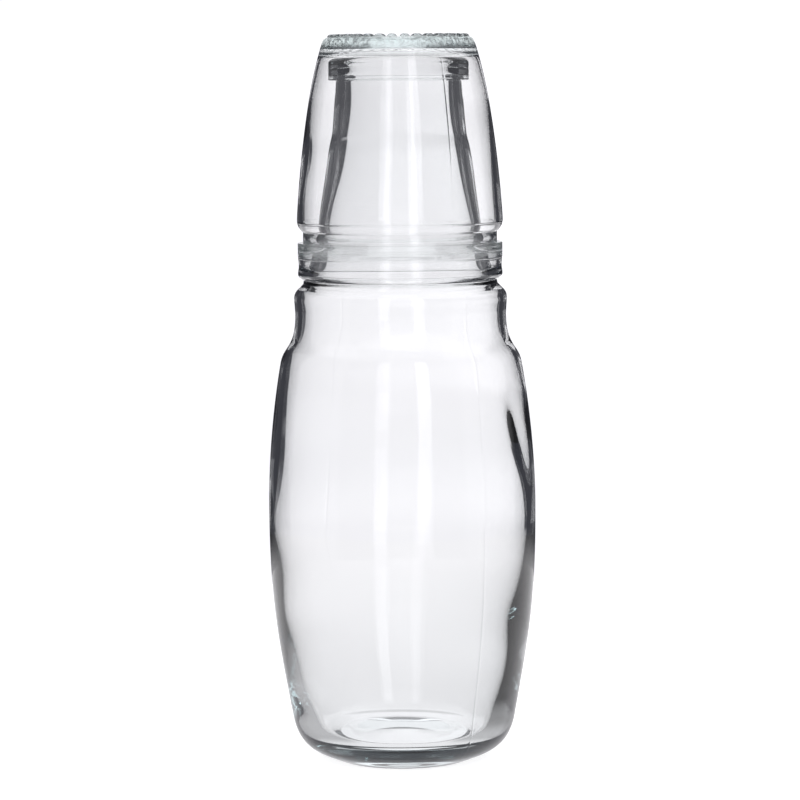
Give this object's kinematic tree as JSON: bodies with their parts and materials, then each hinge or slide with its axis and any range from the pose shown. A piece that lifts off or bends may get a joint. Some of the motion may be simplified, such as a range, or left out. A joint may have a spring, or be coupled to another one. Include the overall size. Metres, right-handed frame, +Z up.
{
  "type": "bedside carafe with tumbler",
  "caption": "Clear glass water carafe with a barrel-shaped body, waisted shoulder and flared neck, and an upturned tumbler that stands over the neck on a moulded seat as its lid.",
  "frame": {"origin": "centre of the carafe's foot ring, on the surface that it stands on", "axes": "+Z up along the axis that both pieces share; both are round, so +X is simply the viewer's right and -Y faces the viewer"},
  "size_m": [0.092, 0.092, 0.25],
  "materials": {
    "carafe_glass": "polished, clear, faintly green where it is thick",
    "tumbler_glass": "polished, clear, faintly green where it is thick"
  },
  "bodies": {
    "carafe": {"carafe": "carafe_glass"},
    "tumbler": {"tumbler": "tumbler_glass"}
  },
  "joints": [
    {"name": "tumbler_lift", "type": "slide", "parent": "carafe", "child": "tumbler", "axis": [0, 0, 1], "range_m": [0, 0.11]}
  ]
}
